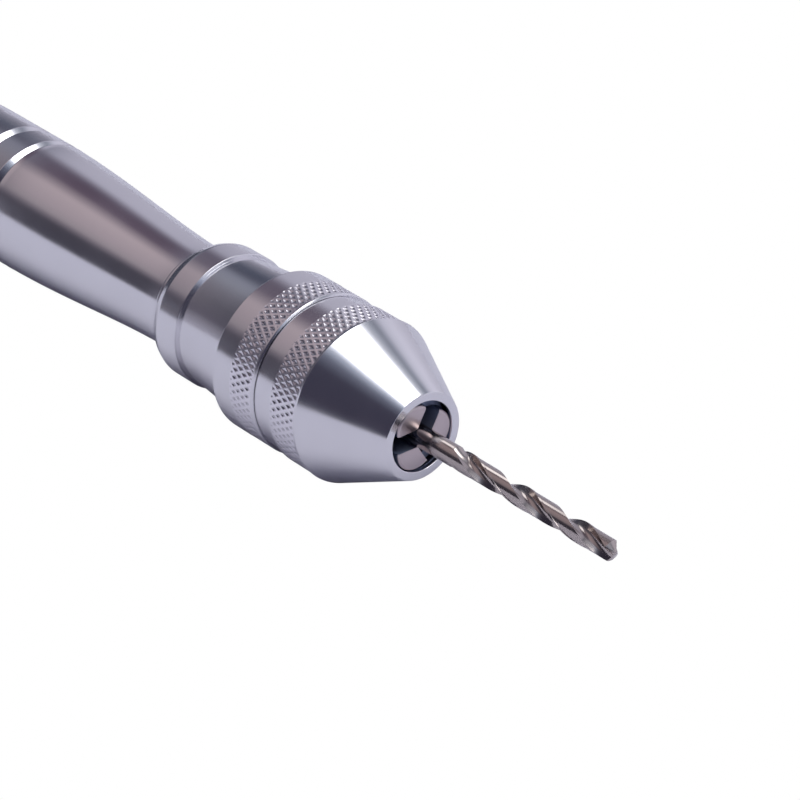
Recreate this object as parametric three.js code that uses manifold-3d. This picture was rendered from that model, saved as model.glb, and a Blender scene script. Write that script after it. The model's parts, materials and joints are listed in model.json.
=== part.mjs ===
// A small aluminium hand drill: a tapered handle with a swivelling palm cap on a ball bearing,
// and a keyless three-jaw chuck that holds a twist drill.
//
// Millimetres. The tool's axis is +X, from the palm cap's flat end (x = 0) to the drill's point,
// and +Z is up as the tool lies on its side. The chuck's pieces are drawn from the nose face,
// so their x is negative going back into the chuck; the tail's pieces are drawn from the tail face.

import * as THREE from "three";
import { mergeVertices } from "three/addons/utils/BufferGeometryUtils.js";
import Module from "manifold-3d";

const wasm = await Module();
wasm.setup();

// Driving dimensions.
const BODY_LENGTH = 100;          // tail face to nose face
const SLEEVE_RADIUS = 10;         // largest radius, at the cone's base
const KNURL_RADIUS = 9.92;
const GROOVE_RADIUS = 9.6;        // smooth band between the two knurls
const MOUTH_RADIUS = 4.25;
const RIM_RADIUS = 5.33;
const CONE_BACK = -10.2;          // the cone's base, behind the nose face
const FRONT_SLEEVE_BACK = -17.7;
const REAR_SLEEVE_FRONT = -17.9;
const REAR_SLEEVE_BACK = -39.2;
const HANDLE_FRONT = -39.4;
const BIT_RADIUS = 1.25;
const BIT_REACH = 31.2;           // the drill's point, in front of the nose face
const BIT_LENGTH = 57;
const PLAIN_SHANK_END = 5;        // the flutes start here, in front of the nose face
const FLUTE_PITCH = 18.2;
const POINT_HALF_ANGLE = 59;      // degrees
const JAW_COUNT = 3;
const FIRST_JAW_ANGLE = 1;        // degrees about +X from +Y
const JAW_TILT = 12;              // degrees between a jaw's axis and the tool's
const JAW_RADIUS = 2.45;
const JAW_LENGTH = 14.5;
const JAW_FACE = -0.1;            // the jaws' front faces, behind the nose face
const JAW_CENTRE = 1.49;          // a jaw's axis, from the tool's axis, at its front face
const JAW_PITCH = 1;              // teeth on a jaw's back
const RUNNING_GAP = 0.1;
const SEAT_GAP = 0.15;            // between neighbours that rest on each other
const SLEEVE_BORE = 8.4;
const NUT_FRONT = -12;            // the nut on the jaws' teeth
const NUT_BACK = -15;
const NUT_RADIUS = 7.8;
const NUT_THREAD = 6.66;
const CHUCK_TAIL = -37.6;         // the chuck body's back end
const NECK_RADIUS = 6.6;
const GRIP_RADIUS = 8.5;
const NECK_END = 59.2;             // where the handle starts to swell, from the tail face
const SWELL_END = 24;             // where it reaches its full radius
const HANDLE_BACK = 22.15;
const CAP_FRONT = 21.85;
const CAP_BORE = 6.1;
const STUD_RADIUS = 2.5;
const BALL_COUNT = 7;
const BALL_RADIUS = 0.78;
const BALL_CIRCLE = 4.5;
const BEARING_CENTRE = 15.2;
const BEARING_WIDTH = 4;
const OUTER_SIDES = 36;
const INNER_SIDES = 24;
const SMALL_SIDES = 12;

const degrees = THREE.MathUtils.degToRad;

// Materials.
const satinAluminium = new THREE.MeshStandardMaterial({ color: 0xb4b2bf, roughness: 0.28, metalness: 1 });
const blackenedSteel = new THREE.MeshStandardMaterial({ color: 0x2b2d33, roughness: 0.5, metalness: 0.9 });
const jawSteel = new THREE.MeshStandardMaterial({ color: 0x9c8f92, roughness: 0.25, metalness: 1 });
const toolSteel = new THREE.MeshStandardMaterial({ color: 0x6b6259, roughness: 0.3, metalness: 1 });
const bearingSteel = new THREE.MeshStandardMaterial({ color: 0xc4c6ca, roughness: 0.12, metalness: 1 });
const brass = new THREE.MeshStandardMaterial({ color: 0xb8954a, roughness: 0.35, metalness: 1 });

// Solids.

// Makes a manifold-3d solid of a closed three.js geometry, with its faces pointing out.
function solidOf(geometry) {
  const bare = geometry.clone();
  bare.deleteAttribute("normal");
  bare.deleteAttribute("uv");
  const merged = mergeVertices(bare, 1e-5);
  const position = merged.attributes.position;
  const corners = merged.index.array;
  const triangles = [];
  let volume = 0;
  for (let i = 0; i < corners.length; i += 3) {
    const [a, b, c] = corners.slice(i, i + 3);
    if (a === b || b === c || c === a) {
      continue;
    }
    triangles.push([a, b, c]);
    const places = [a, b, c].map((corner) => new THREE.Vector3().fromBufferAttribute(position, corner));
    volume += places[0].dot(places[1].cross(places[2]));
  }
  if (volume < 0) {
    triangles.forEach((triangle) => triangle.reverse());
  }
  const mesh = new wasm.Mesh({
    numProp: 3,
    vertProperties: new Float32Array(position.array),
    triVerts: new Uint32Array(triangles.flat()),
  });
  return new wasm.Manifold(mesh);
}

// Turns an outline of [along, radius] points about the X axis. An outline that doesn't start and end
// on the axis closes on itself.
function turned(outline, sides = OUTER_SIDES) {
  const points = outline.map(([along, radius]) => new THREE.Vector2(radius, along));
  const onAxis = outline[0][1] === 0 && outline[outline.length - 1][1] === 0;
  if (!onAxis) {
    points.push(points[0].clone());
  }
  const geometry = new THREE.LatheGeometry(points, sides);
  geometry.rotateZ(-Math.PI / 2);
  return solidOf(geometry);
}

// A straight rod of round section along X between two places.
function rod(from, to, radius, sides = INNER_SIDES) {
  return turned([[from, 0], [from, radius], [to, radius], [to, 0]], sides);
}

// A flat ring about the X axis.
function ring(from, to, inner, outer, sides = INNER_SIDES) {
  return turned([[from, inner], [from, outer], [to, outer], [to, inner]], sides);
}

// A box given by its lowest and highest corners.
function block(low, high) {
  const size = high.map((value, i) => value - low[i]);
  const geometry = new THREE.BoxGeometry(...size);
  geometry.translate(...low.map((value, i) => value + size[i] / 2));
  return solidOf(geometry);
}

// A named mesh of a solid, for a scene group.
function piece(name, solid, material) {
  const { vertProperties, triVerts } = solid.getMesh();
  const geometry = new THREE.BufferGeometry();
  geometry.setAttribute("position", new THREE.BufferAttribute(new Float32Array(vertProperties), 3));
  geometry.setIndex(new THREE.BufferAttribute(new Uint32Array(triVerts), 1));
  geometry.computeVertexNormals();
  const mesh = new THREE.Mesh(geometry, material);
  mesh.name = name;
  return mesh;
}

// Chuck.

// The clearance cone inside the front sleeve, and the chuck body's nose that follows it.
function sleeveInside(along) {
  const slope = (SLEEVE_BORE - MOUTH_RADIUS) / 9.3;
  return MOUTH_RADIUS + slope * (-along - 0.5);
}

function frontSleeve() {
  const coneInsideEnd = -9.8;
  return turned([
    [0, MOUTH_RADIUS + 0.15],
    [0, RIM_RADIUS - 0.2],
    [-0.2, RIM_RADIUS],
    [CONE_BACK, SLEEVE_RADIUS],
    [CONE_BACK - 0.25, KNURL_RADIUS],
    [-14.8, KNURL_RADIUS],
    [-15, GROOVE_RADIUS],
    [FRONT_SLEEVE_BACK, GROOVE_RADIUS],
    [FRONT_SLEEVE_BACK, SLEEVE_BORE],
    [-17.4, SLEEVE_BORE],
    [-17.4, SLEEVE_BORE + 0.5],
    [-16.4, SLEEVE_BORE + 0.5],
    [-16.4, SLEEVE_BORE],
    [coneInsideEnd, SLEEVE_BORE],
    [-0.5, MOUTH_RADIUS],
    [-0.15, MOUTH_RADIUS],
  ]);
}

function rearSleeve() {
  return turned([
    [REAR_SLEEVE_FRONT, KNURL_RADIUS],
    [-22.1, KNURL_RADIUS],
    [-22.2, KNURL_RADIUS + 0.03],
    [-25.2, KNURL_RADIUS + 0.03],
    [-25.25, 9],
    [-27, 8.78],
    [-29.5, 8.45],
    [-32, 8.23],
    [-33.9, 8.12],
    [-34.3, 8.4],
    [-34.9, GRIP_RADIUS],
    [-38, GRIP_RADIUS],
    [-38.8, 8.15],
    [REAR_SLEEVE_BACK, 7.5],
    [REAR_SLEEVE_BACK, 6.3],
    [-30, 6.3],
    [-30, 7.6],
    [REAR_SLEEVE_FRONT, 7.6],
  ]);
}

// Where a jaw stands round the tool's axis, in degrees.
function jawAngle(index) {
  return FIRST_JAW_ANGLE + (index * 360) / JAW_COUNT;
}

// A rod along a jaw's axis, for the jaw in the +Y direction: its bore, or the jaw itself.
function jawRod(radius, front, back) {
  const geometry = new THREE.CylinderGeometry(radius, radius, front + back, 24);
  geometry.rotateZ(-Math.PI / 2);
  geometry.translate((front - back) / 2, 0, 0);
  geometry.rotateZ(-degrees(JAW_TILT));
  geometry.translate(JAW_FACE, JAW_CENTRE, 0);
  return solidOf(geometry);
}

function jaw() {
  const gripFlat = BIT_RADIUS + 0.06;
  const edgeHalfWidth = 0.1;
  let body = jawRod(JAW_RADIUS, 3, JAW_LENGTH);
  body = body.intersect(block([-30, gripFlat, -5], [JAW_FACE, 20, 5]));
  for (const side of [-1, 1]) {
    const wedge = new THREE.BoxGeometry(40, 10, 10);
    wedge.translate(-10, -5, 0);
    wedge.rotateX(side * degrees(60));
    wedge.translate(0, gripFlat, side * edgeHalfWidth);
    body = body.subtract(solidOf(wedge));
  }
  const tilt = Math.tan(degrees(JAW_TILT));
  for (let tooth = 0; tooth < 5; tooth += 1) {
    const along = -9.6 - tooth * JAW_PITCH;
    const back = JAW_CENTRE + tilt * (JAW_FACE - along) + JAW_RADIUS;
    body = body.subtract(block([along - 0.25, back - 0.35, -3], [along + 0.25, back + 1, 3]));
  }
  return body;
}

function chuckBody() {
  let body = turned([
    [-1.5, 0],
    [-1.5, sleeveInside(-1.5) - 0.35],
    [-9.04, 7.7],
    [-11.85, 7.7],
    [-11.85, 6.3],
    [-15.9, 6.3],
    [-15.9, 8.3],
    [-16.5, 8.3],
    [-16.5, 7.7],
    [-17.3, 7.7],
    [-17.3, 8.3],
    [-17.6, 8.3],
    [-17.6, 7.5],
    [-29.8, 7.5],
    [-29.8, 6.2],
    [CHUCK_TAIL, 6.2],
    [CHUCK_TAIL, 0],
  ]);
  const jawBoreLength = 17;
  for (let i = 0; i < JAW_COUNT; i += 1) {
    const bore = jawRod(JAW_RADIUS + RUNNING_GAP, 5, jawBoreLength);
    body = body.subtract(bore.rotate([jawAngle(i), 0, 0]));
  }
  const drillBore = rod(-26.6, 1, 1.9, SMALL_SIDES);
  const studBore = rod(CHUCK_TAIL - 2, -28, STUD_RADIUS + RUNNING_GAP, SMALL_SIDES);
  return body.subtract(drillBore).subtract(studBore);
}

// The nut on the jaws' teeth is made in two halves, so that it can be put round the chuck body.
function nutHalf(side) {
  const whole = turned([
    [NUT_FRONT, NUT_THREAD],
    [NUT_FRONT, NUT_RADIUS],
    [NUT_BACK, NUT_RADIUS],
    [NUT_BACK, 7.3],
  ], INNER_SIDES);
  const splitGap = SEAT_GAP / 2;
  const low = side > 0 ? splitGap : -10;
  const high = side > 0 ? 10 : -splitGap;
  return whole.intersect(block([-20, -10, low], [0, 10, high]));
}

function snapRing() {
  const whole = ring(-17.2, -16.6, 7.8, 8.7);
  return whole.subtract(block([-18, 7, -1.2], [-16, 10, 1.2]));
}

// A twist drill's flute, which winds round the drill like a right-hand screw.
function flute(start) {
  const offset = 1.25;
  const size = 0.95;
  const steps = 26;
  const length = BIT_REACH + 1 - PLAIN_SHANK_END;
  const section = new THREE.Shape();
  section.absarc(offset, 0, size, 0, 2 * Math.PI);
  const geometry = new THREE.ExtrudeGeometry(section, {
    depth: length, steps, bevelEnabled: false, curveSegments: 6,
  });
  geometry.applyMatrix4(new THREE.Matrix4().makeBasis(
    new THREE.Vector3(0, 1, 0), new THREE.Vector3(0, 0, 1), new THREE.Vector3(1, 0, 0),
  ));
  const place = geometry.attributes.position;
  const point = new THREE.Vector3();
  const axis = new THREE.Vector3(1, 0, 0);
  for (let i = 0; i < place.count; i += 1) {
    point.fromBufferAttribute(place, i);
    point.applyAxisAngle(axis, degrees(start) + (2 * Math.PI * point.x) / FLUTE_PITCH);
    place.setXYZ(i, point.x + PLAIN_SHANK_END, point.y, point.z);
  }
  return solidOf(geometry);
}

function twistDrill() {
  const pointLength = BIT_RADIUS / Math.tan(degrees(POINT_HALF_ANGLE));
  const blank = turned([
    [BIT_REACH - BIT_LENGTH, 0],
    [BIT_REACH - BIT_LENGTH, BIT_RADIUS - 0.1],
    [BIT_REACH - BIT_LENGTH + 0.1, BIT_RADIUS],
    [BIT_REACH - pointLength, BIT_RADIUS],
    [BIT_REACH, 0],
  ], SMALL_SIDES);
  return blank.subtract(flute(0)).subtract(flute(180));
}

function buildChuck() {
  const chuck = new THREE.Group();
  chuck.add(piece("front_sleeve", frontSleeve(), satinAluminium));
  chuck.add(piece("rear_sleeve", rearSleeve(), satinAluminium));
  chuck.add(piece("chuck_body", chuckBody(), blackenedSteel));
  chuck.add(piece("split_nut_half_1", nutHalf(1), blackenedSteel));
  chuck.add(piece("split_nut_half_2", nutHalf(-1), blackenedSteel));
  const retainer = ring(NUT_BACK, NUT_FRONT, NUT_RADIUS + RUNNING_GAP, 8.3);
  chuck.add(piece("nut_retaining_ring", retainer, bearingSteel));
  chuck.add(piece("thrust_washer", ring(-15.75, NUT_BACK - SEAT_GAP, 7.5, 8.25), bearingSteel));
  chuck.add(piece("sleeve_snap_ring", snapRing(), bearingSteel));
  for (let i = 0; i < JAW_COUNT; i += 1) {
    const turn = new THREE.Group();
    turn.rotation.x = degrees(jawAngle(i));
    turn.add(piece(`jaw_${i + 1}`, jaw(), jawSteel));
    chuck.add(turn);
  }
  chuck.add(piece("twist_drill", twistDrill(), toolSteel));
  chuck.add(piece("arbor_stud", rod(-48, -28.3, STUD_RADIUS, SMALL_SIDES), blackenedSteel));
  return chuck;
}

// Handle.

// The handle swells from its neck to its full radius in one soft S.
function gripRadius(along) {
  const part = (NECK_END - along) / (NECK_END - SWELL_END);
  const rise = (1 - Math.cos(Math.PI * Math.min(1, part) ** 0.9)) / 2;
  return NECK_RADIUS + (GRIP_RADIUS - NECK_RADIUS) * rise;
}

function handle() {
  const front = BODY_LENGTH + HANDLE_FRONT;
  const outline = [
    [front, 0],
    [front, 7],
    [front - 1, 7],
    [front - 1.2, NECK_RADIUS],
  ];
  for (let along = NECK_END; along >= 28; along -= 4) {
    outline.push([along, gripRadius(along)]);
  }
  outline.push(
    [27.4, GRIP_RADIUS],
    [27.2, GRIP_RADIUS - 0.35],
    [26.3, GRIP_RADIUS],
    [HANDLE_BACK + 0.3, GRIP_RADIUS],
    [HANDLE_BACK, GRIP_RADIUS - 0.3],
    [HANDLE_BACK, 3.9],
    [BEARING_CENTRE + BEARING_WIDTH / 2 + SEAT_GAP, 3.9],
    [BEARING_CENTRE + BEARING_WIDTH / 2 + SEAT_GAP, 0],
  );
  const solid = turned(outline);
  const studHole = rod(51.5, front + 1, STUD_RADIUS + RUNNING_GAP, SMALL_SIDES);
  const screwHole = rod(10, 35, 2.1, SMALL_SIDES);
  return solid.subtract(studHole).subtract(screwHole);
}

// Palm cap and its bearing.

function palmCap() {
  const domeCentre = 13;
  const dome = [];
  const domeSteps = 6;
  const faceRadius = 4.6;
  for (let i = 0; i <= domeSteps; i += 1) {
    const angle = degrees((90 * i) / domeSteps);
    const radius = faceRadius + (GRIP_RADIUS - faceRadius) * Math.cos(angle) ** 0.8;
    dome.push([domeCentre * (1 - Math.sin(angle)), i === domeSteps ? faceRadius : radius]);
  }
  return turned([
    [CAP_FRONT, CAP_BORE],
    [CAP_FRONT, GRIP_RADIUS - 0.4],
    [CAP_FRONT - 0.9, GRIP_RADIUS],
    ...dome,
    [0, 3.2],
    [2.4, 3.2],
    [2.4, 2.6],
    [9, 2.6],
    [9, 4.8],
    [13.1, 4.8],
    [13.1, CAP_BORE],
    [17.4, CAP_BORE],
    [17.4, CAP_BORE + 0.5],
    [18.4, CAP_BORE + 0.5],
    [18.4, CAP_BORE],
  ]);
}

function innerRace() {
  const half = BEARING_WIDTH / 2;
  const outline = [
    [-half, 2.25], [-half, 3.85], [-0.7, 3.85], [0, 3.6], [0.7, 3.85], [half, 3.85], [half, 2.25],
  ];
  return turned(outline, INNER_SIDES);
}

function outerRace() {
  const half = BEARING_WIDTH / 2;
  const outline = [
    [-half, 5.15], [-half, 6], [half, 6], [half, 5.15], [0.7, 5.15], [0, 5.4], [-0.7, 5.15],
  ];
  return turned(outline, INNER_SIDES);
}

function ballPlaces() {
  const places = [];
  for (let i = 0; i < BALL_COUNT; i += 1) {
    const angle = (2 * Math.PI * i) / BALL_COUNT;
    places.push([BALL_CIRCLE * Math.cos(angle), BALL_CIRCLE * Math.sin(angle)]);
  }
  return places;
}

function ballCage() {
  let cage = ring(-1.4, 1.4, 4.22, 4.78, 28);
  for (const [y, z] of ballPlaces()) {
    const pocket = new THREE.SphereGeometry(BALL_RADIUS + 0.15, 8, 6);
    pocket.translate(0, y, z);
    cage = cage.subtract(solidOf(pocket));
  }
  return cage;
}

function capScrew() {
  const headFront = BEARING_CENTRE - BEARING_WIDTH / 2 - SEAT_GAP;
  const socket = new THREE.CylinderGeometry(1.25, 1.25, 4, 6);
  socket.rotateZ(-Math.PI / 2);
  socket.translate(headFront - 2.6, 0, 0);
  const screw = turned([
    [headFront - 2.4, 0],
    [headFront - 2.4, 3.3],
    [headFront - 2.1, 3.6],
    [headFront, 3.6],
    [headFront, 2],
    [34, 2],
    [34, 0],
  ], INNER_SIDES);
  return screw.subtract(solidOf(socket));
}

function capCirclip() {
  const whole = ring(17.6, 18.2, 5.5, CAP_BORE + 0.35);
  return whole.subtract(block([17, 5, -1], [19, 7, 1]));
}

function buildTail() {
  const tail = new THREE.Group();
  tail.add(piece("handle", handle(), satinAluminium));
  tail.add(piece("palm_cap", palmCap(), satinAluminium));
  tail.add(piece("cap_end_plug", rod(0, 2.2, 3.1, OUTER_SIDES), satinAluminium));
  tail.add(piece("cap_circlip", capCirclip(), bearingSteel));
  tail.add(piece("cap_screw", capScrew(), blackenedSteel));
  const bearing = new THREE.Group();
  bearing.position.x = BEARING_CENTRE;
  bearing.add(piece("bearing_inner_race", innerRace(), bearingSteel));
  bearing.add(piece("bearing_outer_race", outerRace(), bearingSteel));
  bearing.add(piece("ball_cage", ballCage(), brass));
  ballPlaces().forEach(([y, z], i) => {
    const sphere = solidOf(new THREE.SphereGeometry(BALL_RADIUS, 8, 6));
    const ball = piece(`bearing_ball_${i + 1}`, sphere, bearingSteel);
    ball.position.set(0, y, z);
    bearing.add(ball);
  });
  tail.add(bearing);
  return tail;
}

const handDrill = new THREE.Group();
const chuck = buildChuck();
chuck.position.x = BODY_LENGTH;
handDrill.add(chuck);
handDrill.add(buildTail());

export default handDrill;
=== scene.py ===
"""Looks of a small aluminium hand drill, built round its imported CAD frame.

The tool's axis is +X, from the palm cap's flat end to the drill's point. The turned pieces are drawn
in millimetres as closed outlines of (along, radius, corner radius), and revolved about that axis.
"""
import json
import math

import bmesh
import bpy
import numpy as np
from mathutils import Matrix, Vector


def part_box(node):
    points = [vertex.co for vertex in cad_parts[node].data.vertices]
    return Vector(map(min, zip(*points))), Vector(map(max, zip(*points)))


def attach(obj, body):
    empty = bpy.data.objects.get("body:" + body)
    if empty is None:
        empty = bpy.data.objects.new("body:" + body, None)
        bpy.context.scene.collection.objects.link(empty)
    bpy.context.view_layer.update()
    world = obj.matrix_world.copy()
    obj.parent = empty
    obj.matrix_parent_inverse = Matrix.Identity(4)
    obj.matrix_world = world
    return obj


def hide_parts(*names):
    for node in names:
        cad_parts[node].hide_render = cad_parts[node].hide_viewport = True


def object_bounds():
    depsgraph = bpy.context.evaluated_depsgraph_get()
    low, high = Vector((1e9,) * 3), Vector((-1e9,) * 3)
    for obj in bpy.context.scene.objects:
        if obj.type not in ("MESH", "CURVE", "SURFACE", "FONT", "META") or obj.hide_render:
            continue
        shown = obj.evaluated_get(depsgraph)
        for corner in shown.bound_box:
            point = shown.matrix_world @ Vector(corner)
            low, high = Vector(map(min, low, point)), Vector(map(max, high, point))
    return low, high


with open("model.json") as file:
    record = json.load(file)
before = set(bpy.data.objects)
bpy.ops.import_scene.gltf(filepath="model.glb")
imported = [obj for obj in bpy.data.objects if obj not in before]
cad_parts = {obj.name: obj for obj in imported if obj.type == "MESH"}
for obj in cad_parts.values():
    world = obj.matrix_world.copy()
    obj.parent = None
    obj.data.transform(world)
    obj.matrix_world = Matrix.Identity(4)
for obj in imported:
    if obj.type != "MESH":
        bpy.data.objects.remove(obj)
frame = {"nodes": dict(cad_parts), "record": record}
cad_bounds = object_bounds()

MM = 0.001


def millimetres(node):
    """The lowest and highest corner of a CAD node, in millimetres."""
    low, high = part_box(node)
    return [value / MM for value in low], [value / MM for value in high]


# Places and sizes from the frame, in millimetres.
NOSE = millimetres("front_sleeve")[1][0]
SLEEVE_RADIUS = millimetres("front_sleeve")[1][1]
REAR_SLEEVE_BACK, REAR_SLEEVE_FRONT = (corner[0] for corner in millimetres("rear_sleeve"))
BAND_RADIUS = millimetres("rear_sleeve")[1][1]
HANDLE_FRONT = millimetres("handle")[1][0]
GRIP_RADIUS = millimetres("handle")[1][1]
CAP_FRONT = millimetres("palm_cap")[1][0]
BIT_BACK, BIT_TIP = (corner[0] for corner in millimetres("twist_drill"))
BIT_RADIUS = millimetres("twist_drill")[1][1]
PLUG_RADIUS = millimetres("cap_end_plug")[1][1]
PLUG_FRONT = millimetres("cap_end_plug")[1][0]

# Shape details that the faceted frame leaves out: lengths in millimetres, angles in degrees.
MOUTH_RADIUS = 4.25
RIM_RADIUS = 5.33
CONE_LENGTH = 10.2
SLEEVE_BORE = 8.4
CREST_RADIUS = 9.92
ROOT_RADIUS = 9.8
GROOVE_RADIUS = 9.6
NECK_RADIUS = 6.6
NECK_END = 59.2
SWELL_END = 24
HANDLE_BACK = CAP_FRONT + 0.3
CAP_BORE = 6.1
RING_GROOVE_DEPTH = 0.5

# The knurls: diamonds round the sleeve, the length of one along it, and the mesh's steps over one.
KNURLS_ROUND = 66
KNURL_LENGTH = 1.6
KNURL_STEPS = 12
RIDGE_WIDTH = 0.15
COLUMNS = KNURLS_ROUND * KNURL_STEPS

# The jaws, 120 degrees apart. The first angle is from +Y towards +Z.
JAW_FIRST_ANGLE = 1
JAW_TILT = 12
JAW_RADIUS = 2.6
JAW_LENGTH = 14
JAW_FACE = -0.1
JAW_CENTRE = 1.49

# The drill's flutes begin past the nose, and reach their full depth over the run-out.
FLUTE_PITCH = 18.4
FLUTE_START = 5.6
FLUTE_RUNOUT = 2.8
FLUTE_TURN = 60.9
POINT_HALF_ANGLE = 59
DRILL_COLUMNS = 180
DRILL_ROWS = 280

# The camera, from the middle of the nose.
VIEW_AZIMUTH = 50.1
VIEW_ELEVATION = 29.9
VIEW_DISTANCE = 380
VIEW_LEFT = 2.5
VIEW_ABOVE = 4.04
LENS = 155.4
SENSOR_WIDTH = 36

# The strip light over the tool.
STRIP_PLACE = (NOSE - 42, 27, 61)
STRIP_TILT = -25.8
STRIP_LENGTH = 40
STRIP_WIDTH = 48
STRIP_BRIGHTNESS = 1.9


# Camera and light.

def make_camera():
    """A long lens that looks down at the nose, a little to the left of the tool's line."""
    azimuth, elevation = math.radians(VIEW_AZIMUTH), math.radians(VIEW_ELEVATION)
    level = Vector((-math.sin(azimuth), math.cos(azimuth), 0))
    ahead = level * math.cos(elevation) - Vector((0, 0, math.sin(elevation)))
    right = Vector((math.cos(azimuth), math.sin(azimuth), 0))
    up = right.cross(ahead)
    nose = Vector((NOSE * MM, 0, 0))
    place = nose + (VIEW_ABOVE * up - VIEW_LEFT * right - VIEW_DISTANCE * ahead) * MM
    data = bpy.data.cameras.new("camera")
    data.sensor_width = SENSOR_WIDTH
    data.lens = LENS
    data.clip_start = 0.01
    camera = bpy.data.objects.new("camera", data)
    bpy.context.collection.objects.link(camera)
    turn = Matrix((right, up, -ahead)).transposed()
    camera.matrix_world = Matrix.Translation(place) @ turn.to_4x4()
    bpy.context.scene.camera = camera


class Nodes:
    """A short way to write a node tree. A value can be a number, a colour or another node's output."""

    def __init__(self, tree):
        self.tree = tree

    def add(self, kind, **settings):
        node = self.tree.nodes.new(kind)
        for name, value in settings.items():
            setattr(node, name, value)
        return node

    def link(self, source, target):
        self.tree.links.new(source, target)

    def put(self, target, value):
        if isinstance(value, bpy.types.NodeSocket):
            self.link(value, target)
        else:
            target.default_value = value

    def math(self, operation, *values):
        node = self.add("ShaderNodeMath", operation=operation)
        for socket, value in zip(node.inputs, values):
            self.put(socket, value)
        return node.outputs[0]

    def ramp(self, value, low, high):
        """0 below low, 1 above high, and a smooth step between them."""
        node = self.add("ShaderNodeMapRange", interpolation_type="SMOOTHSTEP")
        self.put(node.inputs["Value"], value)
        node.inputs["From Min"].default_value = low
        node.inputs["From Max"].default_value = high
        return node.outputs["Result"]

    def between(self, value, low, high, soft):
        """1 between low and high, with edges that are soft wide."""
        rise = self.ramp(value, low - soft / 2, low + soft / 2)
        fall = self.ramp(value, high - soft / 2, high + soft / 2)
        return self.math("MULTIPLY", rise, self.math("SUBTRACT", 1.0, fall))

    def mix(self, factor, first, second):
        node = self.add("ShaderNodeMix", data_type="RGBA")
        self.put(node.inputs[0], factor)
        self.put(node.inputs[6], first)
        self.put(node.inputs[7], second)
        return node.outputs[2]

    def split(self, space):
        """The three parts of a direction or a place, in the space named."""
        place = self.add("ShaderNodeTexCoord")
        node = self.add("ShaderNodeSeparateXYZ")
        self.link(place.outputs[space], node.inputs[0])
        return node

    def finish_material(self, factor, first, second):
        """The material is the first shader where the factor is 0, and the second where it is 1."""
        mixed = self.add("ShaderNodeMixShader")
        self.link(factor, mixed.inputs[0])
        self.link(first.outputs[0], mixed.inputs[1])
        self.link(second.outputs[0], mixed.inputs[2])
        output = self.add("ShaderNodeOutputMaterial")
        self.link(mixed.outputs[0], output.inputs["Surface"])


def opaque(red, green, blue):
    """A colour as a shader socket takes it."""
    return (red, green, blue, 1.0)


def empty_material(name):
    """A new material with no nodes in it, and its node tree."""
    material = bpy.data.materials.new(name)
    material.use_nodes = True
    material.node_tree.nodes.clear()
    return material, Nodes(material.node_tree)


def metal_material(name):
    """A new metallic material, its node tree and its shader."""
    material = bpy.data.materials.new(name)
    material.use_nodes = True
    shader = material.node_tree.nodes["Principled BSDF"]
    shader.inputs["Metallic"].default_value = 1.0
    return material, Nodes(material.node_tree), shader


def sky_band(nodes, turn, stops):
    """Colours over the tool from its far side (0 degrees) to its near side (180)."""
    ramp = nodes.add("ShaderNodeValToRGB")
    nodes.link(nodes.math("DIVIDE", turn, 180.0), ramp.inputs[0])
    elements = ramp.color_ramp.elements
    elements.remove(elements[1])
    for i, (angle, colour) in enumerate(stops):
        element = elements[0] if i == 0 else elements.new(angle / 180)
        element.position = angle / 180
        element.color = opaque(*colour)
    return ramp.outputs[0]


# Colours of the surroundings, as (degrees over the tool from its far side, colour).
SKY_AHEAD = (
    (0, (0.58, 0.57, 0.67)),
    (24, (0.68, 0.67, 0.78)),
    (36, (0.56, 0.56, 0.66)),
    (46, (0.18, 0.2, 0.25)),
    (58, (0.5, 0.52, 0.6)),
    (104, (0.45, 0.5, 0.62)),
    (116, (0.12, 0.13, 0.18)),
    (130, (0.045, 0.043, 0.068)),
    (172, (0.045, 0.042, 0.066)),
    (180, (0.1, 0.1, 0.13)),
)
SKY_TAILWARD = (
    (0, (0.46, 0.45, 0.54)),
    (42, (0.46, 0.45, 0.54)),
    (58, (0.13, 0.11, 0.15)),
    (66, (0.1, 0.075, 0.107)),
    (80, (0.11, 0.08, 0.115)),
    (92, (0.3, 0.25, 0.28)),
    (101, (0.46, 0.385, 0.41)),
    (126, (0.39, 0.33, 0.36)),
    (138, (0.33, 0.29, 0.315)),
    (145, (0.16, 0.14, 0.17)),
    (152, (0.06, 0.057, 0.075)),
    (180, (0.05, 0.047, 0.065)),
)
SKY_BEYOND = (
    (0, (0.36, 0.35, 0.42)),
    (12, (0.2, 0.2, 0.25)),
    (34, (0.06, 0.07, 0.105)),
    (48, (0.08, 0.085, 0.12)),
    (64, (0.24, 0.25, 0.31)),
    (78, (0.25, 0.26, 0.31)),
    (100, (0.17, 0.165, 0.2)),
    (126, (0.11, 0.105, 0.13)),
    (154, (0.11, 0.1, 0.13)),
    (166, (0.24, 0.23, 0.28)),
    (180, (0.34, 0.33, 0.4)),
)
END_WALL = (0.06, 0.062, 0.085)
SOFT_BOX = (3.2, 3.2, 3.25)


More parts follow.
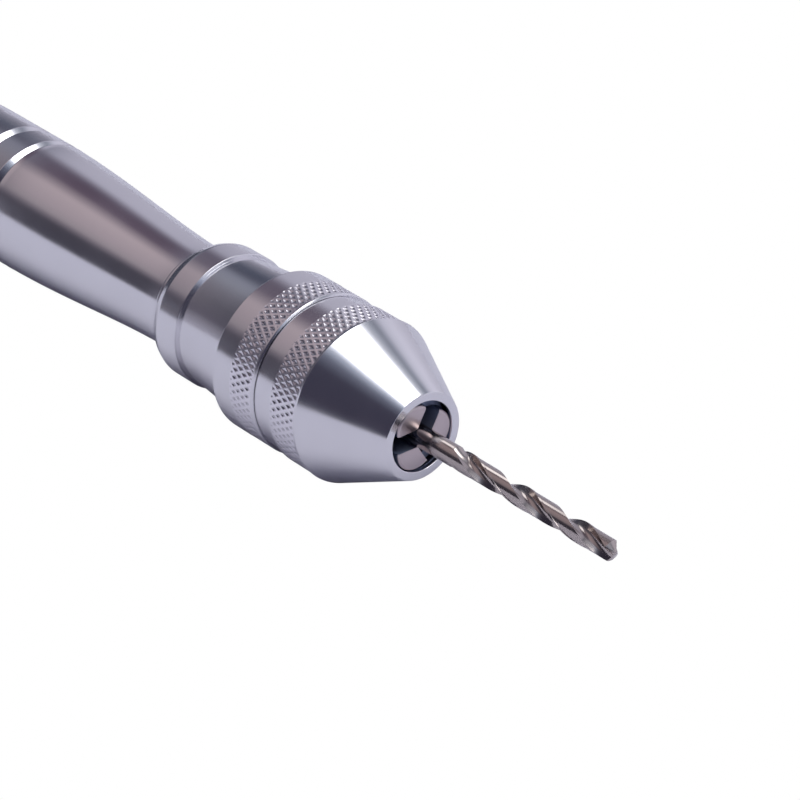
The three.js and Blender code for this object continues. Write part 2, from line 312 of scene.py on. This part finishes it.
def make_world():
    """A soft box over a dark room with a pale far side, and darker walls beyond the tail.

    A direction is given by its turn about the tool's axis, from the far side (0) over the top (90) to
    the near side (180), and by its lean, which is 1 towards the drill's point and -1 towards the tail.
    The floor hides the lower half. The camera sees plain white.
    """
    world = bpy.data.worlds.new("studio")
    bpy.context.scene.world = world
    world.use_nodes = True
    nodes = Nodes(world.node_tree)
    world.node_tree.nodes.clear()
    split = nodes.split("Generated")
    lean = split.outputs["X"]
    radians = nodes.math("ARCTAN2", split.outputs["Z"], split.outputs["Y"])
    turn = nodes.math("MULTIPLY", radians, 180 / math.pi)
    ahead = sky_band(nodes, turn, SKY_AHEAD)
    tailward = sky_band(nodes, turn, SKY_TAILWARD)
    beyond = sky_band(nodes, turn, SKY_BEYOND)
    colour = nodes.mix(nodes.ramp(lean, -0.5, -0.15), tailward, ahead)
    colour = nodes.mix(nodes.ramp(lean, -0.75, -0.712), beyond, colour)
    colour = nodes.mix(nodes.ramp(lean, -0.93, -0.84), opaque(*END_WALL), colour)
    in_turn = nodes.between(turn, 62, 101, 9)
    in_lean = nodes.between(lean, -0.08, 0.6, 0.1)
    colour = nodes.mix(nodes.math("MULTIPLY", in_turn, in_lean), colour, opaque(*SOFT_BOX))
    path = nodes.add("ShaderNodeLightPath")
    colour = nodes.mix(path.outputs["Is Camera Ray"], colour, opaque(1, 1, 1))
    background = nodes.add("ShaderNodeBackground")
    nodes.link(colour, background.inputs["Color"])
    output = nodes.add("ShaderNodeOutputWorld")
    nodes.link(background.outputs[0], output.inputs["Surface"])


def painted_floor_shadow(nodes):
    """1 on the far side of the tool's rear half, where the floor carries a painted shadow of the tool, and 0
    elsewhere.
    """
    split = nodes.split("Object")
    beside = nodes.ramp(split.outputs["Y"], -SLEEVE_RADIUS * MM, SLEEVE_RADIUS * MM)
    away = nodes.ramp(split.outputs["Y"], 2.4 * SLEEVE_RADIUS * MM, 1.5 * SLEEVE_RADIUS * MM)
    behind = nodes.ramp(split.outputs["X"], (NOSE / 2 + 12) * MM, (NOSE / 2 + 2) * MM)
    return nodes.math("MULTIPLY", nodes.math("MULTIPLY", beside, away), behind)


def floor_material():
    """Matt and pale, with a painted shadow beside the tool's rear half that the metal reflects. The camera
    sees it as plain white.
    """
    material, nodes = empty_material("floor")
    matt = nodes.add("ShaderNodeBsdfDiffuse")
    pale, painted_shadow_colour = opaque(0.78, 0.78, 0.86), opaque(0.3, 0.3, 0.35)
    # Painted shadow: the floor's colour darkens beside the tool's rear half.
    nodes.link(nodes.mix(painted_floor_shadow(nodes), pale, painted_shadow_colour), matt.inputs["Color"])
    white = nodes.add("ShaderNodeEmission")
    path = nodes.add("ShaderNodeLightPath")
    nodes.finish_material(path.outputs["Is Camera Ray"], matt, white)
    return material


def make_floor():
    """A floor at the height of the tool's lowest point."""
    low = cad_bounds[0][2]
    bpy.ops.mesh.primitive_plane_add(size=4, location=(NOSE * MM / 2, 0, low))
    floor = bpy.context.object
    floor.name = "floor"
    floor.data.materials.append(floor_material())


def strip_light_material():
    """Bright in the middle of a plane of size 1, and clear at its edges."""
    material, nodes = empty_material("strip_light")
    split = nodes.split("Object")
    lengthwise = nodes.between(split.outputs["X"], -0.39, 0.39, 0.2)
    crosswise = nodes.between(split.outputs["Y"], -0.36, 0.36, 0.26)
    shape = nodes.math("MULTIPLY", lengthwise, crosswise)
    glow = nodes.add("ShaderNodeEmission")
    glow.inputs["Color"].default_value = opaque(0.97, 0.97, 1)
    nodes.link(nodes.math("MULTIPLY", shape, STRIP_BRIGHTNESS), glow.inputs["Strength"])
    clear = nodes.add("ShaderNodeBsdfTransparent")
    nodes.finish_material(shape, clear, glow)
    return material


def make_strip_light():
    """A strip light with soft edges, high above the handle's front end.

    It draws the bright line along the drill. Only glossy metal sees it, and it casts no shadow.
    """
    place = Vector(STRIP_PLACE) * MM
    bpy.ops.mesh.primitive_plane_add(size=1, location=place, rotation=(math.radians(STRIP_TILT), 0, 0))
    strip = bpy.context.object
    strip.name = "strip_light"
    strip.scale = (STRIP_LENGTH * MM, STRIP_WIDTH * MM, 1)
    strip.data.materials.append(strip_light_material())
    strip.visible_camera = False
    strip.visible_diffuse = False
    strip.visible_shadow = False


# Materials.

def metal(name, colour, roughness, ring_density, ring_depth, wear=0.05, tint=0.06):
    """Machined metal: rings left by the lathe, cloudy handling marks and a slight change of tone."""
    material, nodes, shader = metal_material(name)
    place = nodes.add("ShaderNodeTexCoord")
    split = nodes.add("ShaderNodeSeparateXYZ")
    nodes.link(place.outputs["Object"], split.inputs[0])

    rings = nodes.add("ShaderNodeTexNoise", noise_dimensions="1D")
    rings.inputs["Scale"].default_value = ring_density
    rings.inputs["Detail"].default_value = 3.0
    rings.inputs["Roughness"].default_value = 0.65
    nodes.link(split.outputs["X"], rings.inputs["W"])

    clouds = nodes.add("ShaderNodeTexNoise")
    clouds.inputs["Scale"].default_value = 140.0
    clouds.inputs["Detail"].default_value = 5.0
    nodes.link(place.outputs["Object"], clouds.inputs["Vector"])

    spread = nodes.math("MULTIPLY", nodes.math("SUBTRACT", clouds.outputs["Fac"], 0.5), 2 * wear)
    streak = nodes.math("MULTIPLY", nodes.math("SUBTRACT", rings.outputs["Fac"], 0.5), wear)
    total = nodes.math("ADD", nodes.math("ADD", spread, streak), roughness)
    nodes.link(total, shader.inputs["Roughness"])

    dark = opaque(*(value * (1 - tint) for value in colour))
    light = opaque(*(min(1.0, value * (1 + tint)) for value in colour))
    nodes.link(nodes.mix(clouds.outputs["Fac"], dark, light), shader.inputs["Base Color"])

    bump = nodes.add("ShaderNodeBump")
    bump.inputs["Strength"].default_value = ring_depth
    bump.inputs["Distance"].default_value = 0.00002
    nodes.link(rings.outputs["Fac"], bump.inputs["Height"])
    nodes.link(bump.outputs[0], shader.inputs["Normal"])
    return material


def knurled_metal(name, ridge, pit_shade_colour, roughness):
    """Pressed knurling: bright ridges, with the pits painted darker as painted shade that grows with their
    depth.
    """
    material, nodes, shader = metal_material(name)
    shader.inputs["Roughness"].default_value = roughness
    depth = nodes.add("ShaderNodeAttribute", attribute_name="pit_depth")
    # Painted shade: the colour darkens from the ridges' to the pits' as a vertex lies deeper in a pit.
    nodes.link(nodes.mix(depth.outputs["Fac"], opaque(*ridge), opaque(*pit_shade_colour)), shader.inputs["Base Color"])
    return material


# Turned shapes.

def rounded(outline, corner_steps=5):
    """The points of a closed outline, with each corner cut to a round of its own radius."""
    points = []
    count = len(outline)
    for i, (along, radius, size) in enumerate(outline):
        here = np.array((along, radius), float)
        before = np.array(outline[i - 1][:2], float) - here
        after = np.array(outline[(i + 1) % count][:2], float) - here
        if size == 0:
            points.append(here)
            continue
        long_before, long_after = np.linalg.norm(before), np.linalg.norm(after)
        before, after = before / long_before, after / long_after
        half = math.acos(np.clip(before @ after, -1, 1)) / 2
        reach = min(size / math.tan(half), 0.48 * long_before, 0.48 * long_after)
        start, end = here + before * reach, here + after * reach
        for step in range(corner_steps + 1):
            t = step / corner_steps
            points.append((1 - t) ** 2 * start + 2 * t * (1 - t) * here + t ** 2 * end)
    return np.array(points)


def outline_normals(points):
    """Outward normals of a closed outline. A long side counts for more, so flats stay flat."""
    sides = np.roll(points, -1, axis=0) - points
    across = np.stack([-sides[:, 1], sides[:, 0]], axis=1)
    area = 0.5 * np.sum(points[:, 0] * np.roll(points[:, 1], -1) - np.roll(points[:, 0], -1) * points[:, 1])
    if area > 0:
        across = -across
    length = np.linalg.norm(across, axis=1, keepdims=True)
    weighted = across * length
    total = weighted + np.roll(weighted, 1, axis=0)
    return total / np.maximum(np.linalg.norm(total, axis=1, keepdims=True), 1e-12)


def knurl_height(along, angle, start, end):
    """How far a knurl stands above its pits, from 0 to 1: two sets of slanting ridges that cross."""
    u = angle / (2 * math.pi) * KNURLS_ROUND
    v = (along - start) / KNURL_LENGTH
    nearest = np.full(np.broadcast(u, v).shape, 0.5)
    for family in (u + v, u - v):
        nearest = np.minimum(nearest, 0.5 - np.abs(family % 1 - 0.5))
    depth = np.clip((nearest - RIDGE_WIDTH) / (0.46 - RIDGE_WIDTH), 0, 1)
    edge = np.clip(np.minimum(along - start, end - along) / 0.3, 0, 1)
    return 1 - depth * edge


def surface_normals(grid):
    """Outward normals of a grid of points round the tool's axis."""
    down = np.gradient(grid, axis=0)
    across = np.roll(grid, -1, axis=1) - np.roll(grid, 1, axis=1)
    normals = np.cross(down, across)
    outward = grid.copy()
    outward[:, :, 0] = 0
    normals *= np.sign(np.sum(normals * outward, axis=2, keepdims=True))
    return normals / np.linalg.norm(normals, axis=2, keepdims=True)


def with_knurl(points, normals, knurl):
    """An outline and its normals with rows added over a knurl's span, and the added rows' slice."""
    start, end = knurl
    steps = int(round((end - start) / KNURL_LENGTH * KNURL_STEPS))
    inside = np.linspace(start, end, steps + 1)
    first = 1 + next(i for i in range(len(points)) if outline_break(points, i, knurl))
    if points[first - 1, 0] > points[first, 0]:
        inside = inside[::-1]
    band = np.stack([inside, np.full(len(inside), ROOT_RADIUS)], axis=1)
    points = np.concatenate([points[:first], band, points[first:]])
    normals = np.concatenate([normals[:first], np.zeros_like(band), normals[first:]])
    return points, normals, slice(first, first + len(band))


def mark_knurl(piece, rise, shape, knurled, knurl_material):
    """Gives the knurled faces their own material, and stores how deep each vertex lies in a pit, which the
    knurl's material paints as shade.
    """
    pit_shade = np.zeros(shape)
    # Painted shade in the pits, from how deep each vertex lies.
    pit_shade[knurled] = np.clip(2.2 * (1 - rise) - 0.1, 0, 1)
    depth = piece.data.attributes.new("pit_depth", "FLOAT", "POINT")
    depth.data.foreach_set("value", pit_shade.ravel())
    slots = np.zeros(shape, dtype=int)
    slots[knurled][:-1] = 1
    piece.data.materials.append(knurl_material)
    piece.data.polygons.foreach_set("material_index", slots.ravel())


def turned(name, outline, material, columns=COLUMNS, knurl=None, knurl_material=None):
    """A closed outline revolved about the tool's axis, with a knurl over a span of it if one is given."""
    points = rounded(outline)
    normals = outline_normals(points)
    knurled = slice(0, 0)
    if knurl:
        points, normals, knurled = with_knurl(points, normals, knurl)
    angle = np.linspace(0, 2 * math.pi, columns, endpoint=False)
    along = np.repeat(points[:, :1], columns, axis=1)
    radius = np.repeat(points[:, 1:], columns, axis=1)
    if knurl:
        rise = knurl_height(along[knurled], angle[None, :], *knurl)
        radius[knurled] += (CREST_RADIUS - ROOT_RADIUS) * rise
    grid = np.stack([along, radius * np.cos(angle), radius * np.sin(angle)], axis=2) * MM
    shown = np.stack([
        np.repeat(normals[:, :1], columns, axis=1),
        normals[:, 1:] * np.cos(angle),
        normals[:, 1:] * np.sin(angle),
    ], axis=2)
    if knurl:
        shown[knurled] = surface_normals(grid[knurled])
    piece = grid_mesh(name, grid, material, shown)
    if knurl:
        mark_knurl(piece, rise, radius.shape, knurled, knurl_material)
    return piece


def outline_break(points, i, span):
    """True where a side of the outline reaches past both ends of a span, on the outside."""
    here, there = points[i], points[(i + 1) % len(points)]
    low, high = min(span), max(span)
    crosses = (here[0] >= high and there[0] <= low) or (here[0] <= low and there[0] >= high)
    return crosses and here[1] > SLEEVE_BORE + 1


def grid_mesh(name, grid, material, normals=None, closed_rows=True):
    """A mesh of a grid of points that closes on itself round its columns, and along its rows if asked."""
    rows, columns = grid.shape[:2]
    index = np.arange(rows * columns).reshape(rows, columns)
    right = np.roll(index, -1, axis=1)
    below = np.roll(index, -1, axis=0)
    corner = np.roll(right, -1, axis=0)
    faces = np.stack([index, right, corner, below], axis=2)
    if not closed_rows:
        faces = faces[:-1]
    faces = faces.reshape(-1, 4)
    vertices = grid.reshape(-1, 3)
    volume = signed_volume(vertices, faces)
    if volume < 0:
        faces = faces[:, ::-1]
    mesh = bpy.data.meshes.new(name)
    mesh.from_pydata(vertices.tolist(), [], faces.tolist())
    mesh.polygons.foreach_set("use_smooth", [True] * len(faces))
    mesh.materials.append(material)
    if normals is not None:
        mesh.normals_split_custom_set_from_vertices(normals.reshape(-1, 3).tolist())
    mesh.update()
    piece = bpy.data.objects.new(name, mesh)
    bpy.context.collection.objects.link(piece)
    return piece


def signed_volume(vertices, faces):
    """Above 0 where the faces of a closed mesh point out."""
    a, b, c, d = (vertices[faces[:, k]] for k in range(4))
    first = np.einsum("ij,ij->i", a, np.cross(b, c)).sum()
    second = np.einsum("ij,ij->i", a, np.cross(c, d)).sum()
    return first + second


def stand_for(piece, node, body):
    """The piece is shown instead of a CAD node and moves with a body."""
    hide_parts(node)
    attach(piece, body)


def make_front_sleeve(material, knurl_material):
    """The cone, the front knurl and the smooth groove behind it. The bore narrows to the mouth."""
    cone_back = NOSE - CONE_LENGTH
    groove_back = REAR_SLEEVE_FRONT + 0.07
    knurl = (NOSE - 14.75, cone_back - 0.35)
    outline = [
        (NOSE, MOUTH_RADIUS + 0.05, 0.08),
        (NOSE, RIM_RADIUS - 0.02, 0.16),
        (cone_back, SLEEVE_RADIUS, 0.1),
        (cone_back - 0.2, SLEEVE_RADIUS - 0.04, 0.06),
        (cone_back - 0.33, CREST_RADIUS, 0),
        (NOSE - 14.8, CREST_RADIUS, 0),
        (NOSE - 15.05, GROOVE_RADIUS, 0.15),
        (groove_back, GROOVE_RADIUS, 0.04),
        (groove_back, SLEEVE_BORE, 0.05),
        (NOSE - 9.8, SLEEVE_BORE, 0.3),
        (NOSE - 0.5, MOUTH_RADIUS, 0.1),
    ]
    piece = turned("front_sleeve_fine", outline, material, knurl=knurl, knurl_material=knurl_material)
    stand_for(piece, "front_sleeve", "sleeve")


def make_rear_sleeve(material, knurl_material):
    """The rear knurl, a smooth band, the waist and the flange."""
    knurl = (NOSE - 22.05, REAR_SLEEVE_FRONT - 0.35)
    outline = [
        (REAR_SLEEVE_FRONT, 7.6, 0.05),
        (REAR_SLEEVE_FRONT, CREST_RADIUS - 0.13, 0.03),
        (REAR_SLEEVE_FRONT - 0.13, CREST_RADIUS, 0.04),
        (REAR_SLEEVE_FRONT - 0.33, CREST_RADIUS, 0),
        (NOSE - 22.08, CREST_RADIUS, 0),
        (NOSE - 22.35, BAND_RADIUS, 0),
        (NOSE - 25.2, BAND_RADIUS, 0.2),
        (NOSE - 25.25, 8.95, 0.15),
    ]
    for along, radius in cove_points():
        outline.append((along, radius, 0))
    outline += [
        (NOSE - 34.3, 8.1, 0.04),
        (NOSE - 34.3, 8.5, 0.1),
        (NOSE - 37.8, 8.5, 0.8),
        (NOSE - 38.9, 8.1, 0.8),
        (REAR_SLEEVE_BACK, 7.4, 0.3),
        (REAR_SLEEVE_BACK, 6.3, 0.05),
        (NOSE - 30, 6.3, 0.05),
        (NOSE - 30, 7.6, 0.05),
    ]
    piece = turned("rear_sleeve_fine", outline, material, knurl=knurl, knurl_material=knurl_material)
    stand_for(piece, "rear_sleeve", "root")


def cove_points():
    """The waist: a long shallow hollow from the band's foot to the flange."""
    start, end = NOSE - 25.6, NOSE - 34
    for step in range(25):
        t = step / 24
        yield start + (end - start) * t, 8.1 + 0.45 * (1 - t) + 0.38 * (1 - t) ** 2


def grip_radius(along):
    """The handle swells from its neck to its full radius in one soft S."""
    part = (NECK_END - along) / (NECK_END - SWELL_END)
    rise = (1 - math.cos(math.pi * min(1, max(0, part)) ** 0.9)) / 2
    return NECK_RADIUS + (GRIP_RADIUS - NECK_RADIUS) * rise


def make_handle(material):
    """The grip, with a collar at its front and a ring groove near its back."""
    outline = [
        (HANDLE_FRONT, 2.6, 0.05),
        (HANDLE_FRONT, 7, 0.3),
        (HANDLE_FRONT - 1, 7, 0.3),
        (HANDLE_FRONT - 1.2, NECK_RADIUS, 0.15),
    ]
    for along in np.linspace(NECK_END, 28, 65):
        outline.append((along, grip_radius(along), 0))
    outline += [
        (27.4, GRIP_RADIUS, 0.3),
        (27.2, GRIP_RADIUS - RING_GROOVE_DEPTH, 0.1),
        (26.25, GRIP_RADIUS, 0.3),
        (HANDLE_BACK, GRIP_RADIUS, 0.4),
        (HANDLE_BACK, 3.9, 0.05),
        (17.35, 3.9, 0.05),
        (17.35, 2.1, 0.05),
        (35, 2.1, 0.05),
        (35, 1, 0.05),
        (51.5, 1, 0.05),
        (51.5, 2.6, 0.05),
    ]
    piece = turned("handle_fine", outline, material, columns=360)
    stand_for(piece, "handle", "root")


def make_palm_cap(material):
    """A domed cap, hollow for its bearing, with a hole in its back for the end plug."""
    outline = [
        (CAP_FRONT, CAP_BORE, 0.05),
        (CAP_FRONT, GRIP_RADIUS - RING_GROOVE_DEPTH, 0.1),
        (CAP_FRONT - 0.95, GRIP_RADIUS, 0.3),
    ]
    face_radius = 4.6
    dome_centre = 13
    for step in range(40):
        angle = math.pi / 2 * step / 39
        radius = face_radius + (GRIP_RADIUS - face_radius) * math.cos(angle) ** 0.8
        outline.append((dome_centre * (1 - math.sin(angle)), radius, 0))
    outline += [
        (0, PLUG_RADIUS + 0.1, 0.12),
        (2.4, PLUG_RADIUS + 0.1, 0.05),
        (2.4, 2.6, 0.05),
        (9, 2.6, 0.05),
        (9, 4.8, 0.05),
        (13.1, 4.8, 0.05),
        (13.1, CAP_BORE, 0.05),
        (17.4, CAP_BORE, 0.05),
        (17.4, CAP_BORE + 0.5, 0.05),
        (18.4, CAP_BORE + 0.5, 0.05),
        (18.4, CAP_BORE, 0.05),
    ]
    piece = turned("palm_cap_fine", outline, material, columns=360)
    stand_for(piece, "palm_cap", "cap")


def make_end_plug(material):
    """The cap's end plug, with the small centre hole that its lathe left."""
    outline = [
        (0.7, 0.05, 0),
        (0, 0.75, 0.05),
        (0, PLUG_RADIUS, 0.25),
        (PLUG_FRONT, PLUG_RADIUS, 0.1),
        (PLUG_FRONT, 0.05, 0),
    ]
    piece = turned("cap_end_plug_fine", outline, material, columns=180)
    stand_for(piece, "cap_end_plug", "cap")


# Twist drill.

def drill_section(angle):
    """The drill's radius round its flutes, as a part of its full radius.

    Each land stands at the full radius only along its margin, the narrow strip beside its cutting edge.
    """
    centre, size = 1.0, 0.74
    margin, relief = 0.26, 0.95
    apart = (angle + math.pi / 2) % math.pi - math.pi / 2
    inside = size ** 2 - (centre * np.sin(apart)) ** 2
    edge = centre * np.cos(apart) - np.sqrt(np.maximum(inside, 0))
    flute_side = math.acos((1 + centre ** 2 - size ** 2) / (2 * centre))
    land = np.where((-apart > flute_side) & (-apart < flute_side + margin), 1.0, relief)
    return np.where((inside > 0) & (edge < land), edge, land)


def make_twist_drill(material):
    """A plain shank, two flutes that wind towards the point, and a point ground to a cone."""
    angles = np.linspace(0, 2 * math.pi, DRILL_COLUMNS, endpoint=False)
    start = NOSE + FLUTE_START
    part = drill_section(angles)
    slope = 1 / math.tan(math.radians(POINT_HALF_ANGLE))

    def row(along, radius, turn):
        place = np.broadcast_to(along, angles.shape)
        return np.stack([place, radius * np.cos(turn), radius * np.sin(turn)], 1)

    shank_turn = angles + math.radians(FLUTE_TURN)
    rows = [
        row(BIT_BACK, 0.02, shank_turn),
        row(BIT_BACK, BIT_RADIUS - 0.2, shank_turn),
        row(BIT_BACK + 0.2, BIT_RADIUS, shank_turn),
    ]
    for along in np.linspace(start - 0.2, BIT_TIP, DRILL_ROWS):
        depth = math.sin(math.pi / 2 * min(1, max(0, (along - start) / FLUTE_RUNOUT)))
        radius = BIT_RADIUS * (1 - depth * (1 - part))
        place = np.minimum(along, BIT_TIP - radius * slope)
        turn = shank_turn + 2 * math.pi * np.maximum(0, place - start) / FLUTE_PITCH
        rows.append(row(place, radius, turn))
    last = rows[-1]
    for part_left in (0.66, 0.33, 0.02):
        place = BIT_TIP - (BIT_TIP - last[:, 0]) * part_left
        rows.append(np.stack([place, last[:, 1] * part_left, last[:, 2] * part_left], 1))
    piece = grid_mesh("twist_drill_fine", np.array(rows) * MM, material, closed_rows=False)
    cap_ends(piece, DRILL_COLUMNS)
    piece.data.set_sharp_from_angle(angle=math.radians(35))
    stand_for(piece, "twist_drill", "bit")


def cap_ends(piece, columns):
    """Closes the first and last ring of a tube."""
    shape = bmesh.new()
    shape.from_mesh(piece.data)
    shape.verts.ensure_lookup_table()
    first = [shape.verts[i] for i in range(columns)]
    last = [shape.verts[len(shape.verts) - columns + i] for i in range(columns)]
    shape.faces.new(first)
    shape.faces.new(last)
    bmesh.ops.recalc_face_normals(shape, faces=shape.faces)
    shape.to_mesh(piece.data)
    shape.free()


# Jaws. Each is drawn in millimetres, with the nose's middle at the origin and the jaw beside it, towards +Y.

def jaw_axis():
    return Vector((math.cos(math.radians(JAW_TILT)), -math.sin(math.radians(JAW_TILT)), 0))


def jaw_rod(shape):
    """A slightly tapered rod along the jaw's axis, which reaches past the nose. Returns its middle."""
    past_nose = 6
    axis = jaw_axis()
    bmesh.ops.create_cone(
        shape, cap_ends=True, segments=128, depth=JAW_LENGTH + past_nose,
        radius1=JAW_RADIUS - 0.14, radius2=JAW_RADIUS + 0.06,
    )
    upright = Vector((0, 0, 1)).rotation_difference(axis).to_matrix()
    bmesh.ops.transform(shape, matrix=upright.to_4x4(), verts=shape.verts)
    middle = Vector((JAW_FACE, JAW_CENTRE, 0)) + axis * (past_nose - JAW_LENGTH) / 2
    bmesh.ops.translate(shape, vec=middle, verts=shape.verts)
    return middle


def cut_jaw(shape):
    """Cuts the rod to a flat face at the nose, a narrow gripping edge and two sides that meet at it."""
    grip = BIT_RADIUS + 0.06
    sixty = math.radians(60)
    cuts = [(Vector((JAW_FACE, 0, 0)), Vector((1, 0, 0))), (Vector((0, grip, 0)), Vector((0, -1, 0)))]
    for side in (-1, 1):
        edge = Vector((0, grip, side * 0.1))
        cuts.append((edge, Vector((0, -math.sin(sixty), side * math.cos(sixty)))))
    for point, away in cuts:
        everything = shape.verts[:] + shape.edges[:] + shape.faces[:]
        result = bmesh.ops.bisect_plane(
            shape, geom=everything, plane_co=point, plane_no=away, clear_outer=True)
        rim = [item for item in result["geom_cut"] if isinstance(item, bmesh.types.BMEdge)]
        bmesh.ops.contextual_create(shape, geom=rim)


def soften_jaw(shape, middle):
    """Takes off the edge between the rod and its front face, then all the other sharp edges."""
    axis = jaw_axis()

    def on_front_rim(vertex):
        reach = vertex.co - middle
        beside = (reach - axis * reach.dot(axis)).length
        return vertex.co.x > JAW_FACE - 0.001 and beside > JAW_RADIUS * 0.995

    front_rim = [edge for edge in shape.edges if all(on_front_rim(vertex) for vertex in edge.verts)]
    bmesh.ops.bevel(shape, geom=front_rim, offset=0.2, segments=1, profile=0.5, affect="EDGES")
    sharp = [edge for edge in shape.edges if len(edge.link_faces) == 2 and edge.calc_face_angle() > 0.4]
    bmesh.ops.bevel(shape, geom=sharp, offset=0.06, segments=2, profile=0.5, affect="EDGES")


def make_jaw(number, material, side_material):
    """A slanted rod that grips the drill along a narrow edge. Only its front face is ground bright."""
    shape = bmesh.new()
    middle = jaw_rod(shape)
    cut_jaw(shape)
    soften_jaw(shape, middle)
    spin = Matrix.Rotation(math.radians(JAW_FIRST_ANGLE + 120 * (number - 1)), 4, "X")
    place = Matrix.Scale(MM, 4) @ Matrix.Translation((NOSE, 0, 0)) @ spin
    bmesh.ops.transform(shape, matrix=place, verts=shape.verts)
    bmesh.ops.recalc_face_normals(shape, faces=shape.faces)
    for face in shape.faces:
        face.material_index = 0 if face.normal.x > 0.3 else 1
    mesh = bpy.data.meshes.new(f"jaw_{number}_fine")
    shape.to_mesh(mesh)
    shape.free()
    mesh.materials.append(material)
    mesh.materials.append(side_material)
    mesh.polygons.foreach_set("use_smooth", [True] * len(mesh.polygons))
    mesh.set_sharp_from_angle(angle=math.radians(30))
    piece = bpy.data.objects.new(mesh.name, mesh)
    bpy.context.collection.objects.link(piece)
    stand_for(piece, f"jaw_{number}", f"jaw_{number}")


# The whole scene.

def paint_frame(materials):
    """The inner pieces stay as the frame has them, in their own metals."""
    slots = {entry["node"]: entry["material_slot"] for entry in frame["record"]["subparts"]}
    for name, node in frame["nodes"].items():
        node.data.materials.clear()
        node.data.materials.append(materials[slots[name]])


def main():
    make_camera()
    make_world()
    make_floor()
    make_strip_light()
    bpy.context.scene.view_settings.view_transform = "Standard"
    materials = {
        "satin_aluminium": metal("satin_aluminium", (0.86, 0.85, 0.88), 0.17, 5000, 0.05),
        "blackened_steel": metal("blackened_steel", (0.28, 0.32, 0.44), 0.5, 5000, 0.2),
        "jaw_steel": metal("jaw_steel", (0.62, 0.54, 0.55), 0.32, 3000, 0.05),
        "tool_steel": metal("tool_steel", (0.53, 0.47, 0.445), 0.17, 4000, 0.06),
        "bearing_steel": metal("bearing_steel", (0.75, 0.76, 0.78), 0.12, 4000, 0.05),
        "brass": metal("brass", (0.75, 0.55, 0.26), 0.3, 4000, 0.1),
    }
    paint_frame(materials)
    aluminium = materials["satin_aluminium"]
    # The second colour is painted shade in the knurl's pits.
    knurled = knurled_metal("knurled_aluminium", (0.95, 0.93, 0.97), (0.62, 0.6, 0.65), 0.24)
    make_front_sleeve(aluminium, knurled)
    make_rear_sleeve(aluminium, knurled)
    make_handle(aluminium)
    make_palm_cap(aluminium)
    make_end_plug(aluminium)
    make_twist_drill(materials["tool_steel"])
    for number in (1, 2, 3):
        make_jaw(number, materials["jaw_steel"], materials["blackened_steel"])


main()
